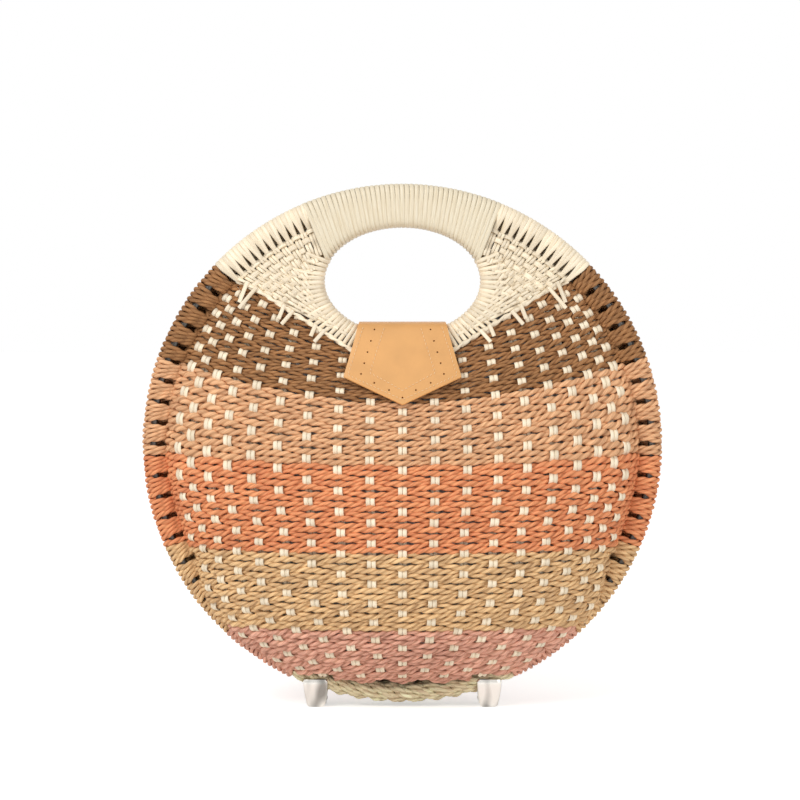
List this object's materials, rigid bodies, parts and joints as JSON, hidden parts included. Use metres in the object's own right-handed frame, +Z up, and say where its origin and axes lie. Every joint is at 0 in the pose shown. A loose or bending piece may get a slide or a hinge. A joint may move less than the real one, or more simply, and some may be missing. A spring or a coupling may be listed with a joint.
{
  "type": "circle bag",
  "caption": "Round woven handbag of two hinged half shells in striped paper rope, with an oval hand hole, reed handle, leather closing tab and metal hinge feet.",
  "frame": {"origin": "on the floor, under the middle of the closed bag", "axes": "+Z up, -Y towards the viewer out of the front shell, +X to the viewer's right"},
  "size_m": [0.3, 0.1118, 0.302],
  "materials": {
    "rope_brown": "twisted paper rope, matt",
    "rope_peach": "twisted paper rope, matt",
    "rope_orange": "twisted paper rope, matt",
    "rope_khaki": "twisted paper rope, matt",
    "rope_pink": "twisted paper rope, matt",
    "rope_cream": "twisted paper rope, matt",
    "reed": "split reed, satin",
    "handle_reed": "fine round reed, satin",
    "hoop_wire": "drawn wire",
    "hoop_cane": "peeled cane",
    "lining_cloth": "plain weave cotton",
    "clip_metal": "bright nickel plate",
    "snap_metal": "plated, satin",
    "leather": "smooth, finished",
    "thread": "twisted thread"
  },
  "bodies": {
    "back_shell": {"back_rim_hoop": "hoop_wire", "back_hand_hoop": "hoop_cane", "back_handle_wrap": "handle_reed", "back_hand_hole_binding": "reed", "back_shoulder_left": "reed", "back_shoulder_right": "reed", "back_weft_brown": "rope_brown", "back_weft_peach": "rope_peach", "back_weft_orange": "rope_orange", "back_weft_khaki": "rope_khaki", "back_weft_pink": "rope_pink", "back_weft_cream": "rope_cream", "back_warp_reeds": "reed", "back_lining": "lining_cloth", "hinge_leaves_back": "clip_metal", "hinge_pins": "clip_metal", "strap_leather": "leather", "strap_stitching": "thread"},
    "front_shell": {"front_rim_hoop": "hoop_wire", "front_hand_hoop": "hoop_cane", "front_handle_wrap": "handle_reed", "front_hand_hole_binding": "reed", "front_shoulder_left": "reed", "front_shoulder_right": "reed", "front_weft_brown": "rope_brown", "front_weft_peach": "rope_peach", "front_weft_orange": "rope_orange", "front_weft_khaki": "rope_khaki", "front_weft_pink": "rope_pink", "front_weft_cream": "rope_cream", "front_warp_reeds": "reed", "front_lining": "lining_cloth", "hinge_leaves_front": "clip_metal", "snap_stud": "snap_metal"},
    "tab": {"tab_leather": "leather", "tab_stitching": "thread", "snap_socket": "snap_metal"}
  },
  "joints": [
    {"name": "shell_open", "type": "hinge", "parent": "back_shell", "child": "front_shell", "pos_m": [0, 0, 0.004], "axis": [1, 0, 0], "range_deg": [0, 70]},
    {"name": "tab_lift", "type": "hinge", "parent": "back_shell", "child": "tab", "pos_m": [0, 0.01215, 0.2225], "axis": [-1, 0, 0], "range_deg": [0, 90]}
  ]
}
